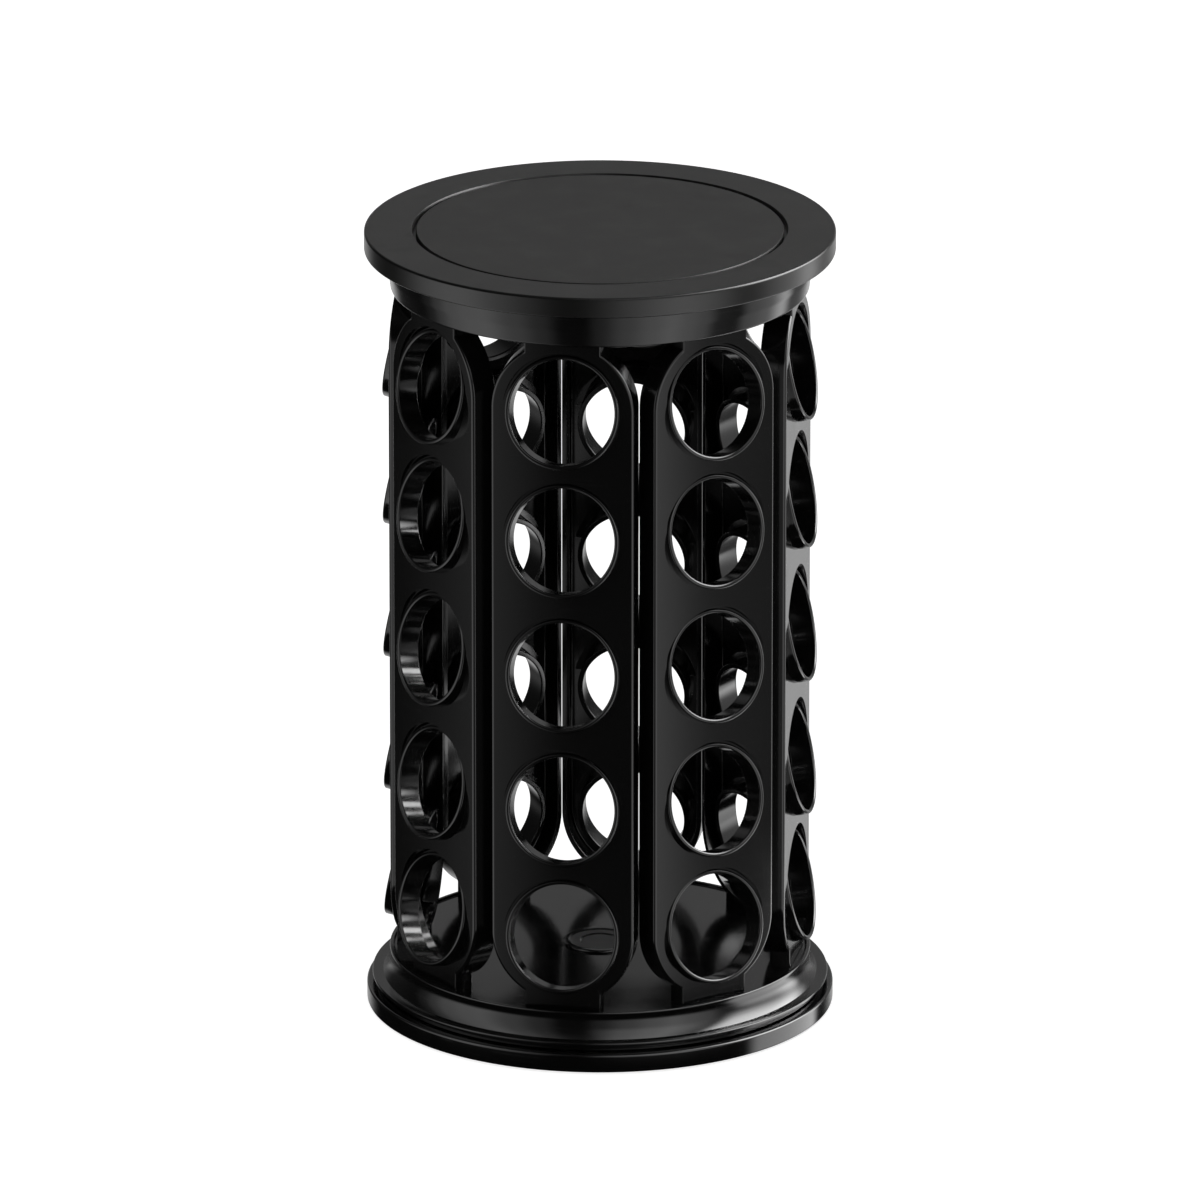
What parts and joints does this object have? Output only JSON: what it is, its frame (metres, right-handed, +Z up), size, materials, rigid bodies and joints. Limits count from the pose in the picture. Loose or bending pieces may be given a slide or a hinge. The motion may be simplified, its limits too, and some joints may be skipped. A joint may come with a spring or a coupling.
{
  "type": "spice carousel",
  "caption": "Round rotating storage tower with upright columns of tilted round sockets between a flared turntable base and a flat round top.",
  "frame": {"origin": "centre of the resting plane, under the middle of the plinth, on the axis it turns about", "axes": "+Z up along the turning axis; -Y out of the face of column 1"},
  "size_m": [0.204, 0.204, 0.352],
  "materials": {
    "column_plastic": "moulded, satin gloss",
    "base_plastic": "moulded, glossy",
    "top_plastic": "moulded, fine satin grain",
    "inlay_plastic": "fine satin grain",
    "pad_rubber": "matte",
    "race_steel": "pressed, plated",
    "ball_steel": "polished",
    "cage_plastic": "natural nylon",
    "plated_steel": "zinc plated"
  },
  "bodies": {
    "foot": {"foot_plate": "base_plastic", "rubber_feet": "pad_rubber", "lower_race": "race_steel", "lower_race_screws": "plated_steel", "pivot_bolt": "plated_steel", "pivot_washer": "plated_steel", "pivot_nut": "plated_steel"},
    "bearing": {"bearing_balls": "ball_steel", "ball_cage": "cage_plastic"},
    "carousel": {"column_1": "column_plastic", "column_2": "column_plastic", "column_3": "column_plastic", "column_4": "column_plastic", "column_5": "column_plastic", "column_6": "column_plastic", "column_7": "column_plastic", "column_8": "column_plastic", "turntable_base": "base_plastic", "hub_cap": "base_plastic", "collar_ring": "base_plastic", "top_plate": "top_plastic", "top_inlay": "inlay_plastic", "upper_race": "race_steel", "upper_race_screws": "plated_steel", "column_foot_screws": "plated_steel", "column_head_screws": "plated_steel", "top_plate_screws": "plated_steel"}
  },
  "joints": [
    {"name": "carousel_spin", "type": "hinge", "parent": "foot", "child": "carousel", "pos_m": [0, 0, 0.013], "axis": [0, 0, 1], "continuous": true},
    {"name": "ball_orbit", "type": "hinge", "parent": "foot", "child": "bearing", "pos_m": [0, 0, 0.013], "axis": [0, 0, 1], "continuous": true}
  ],
  "couplings": [
    {"joint": "ball_orbit", "follows": "carousel_spin", "ratio": 0.5}
  ]
}
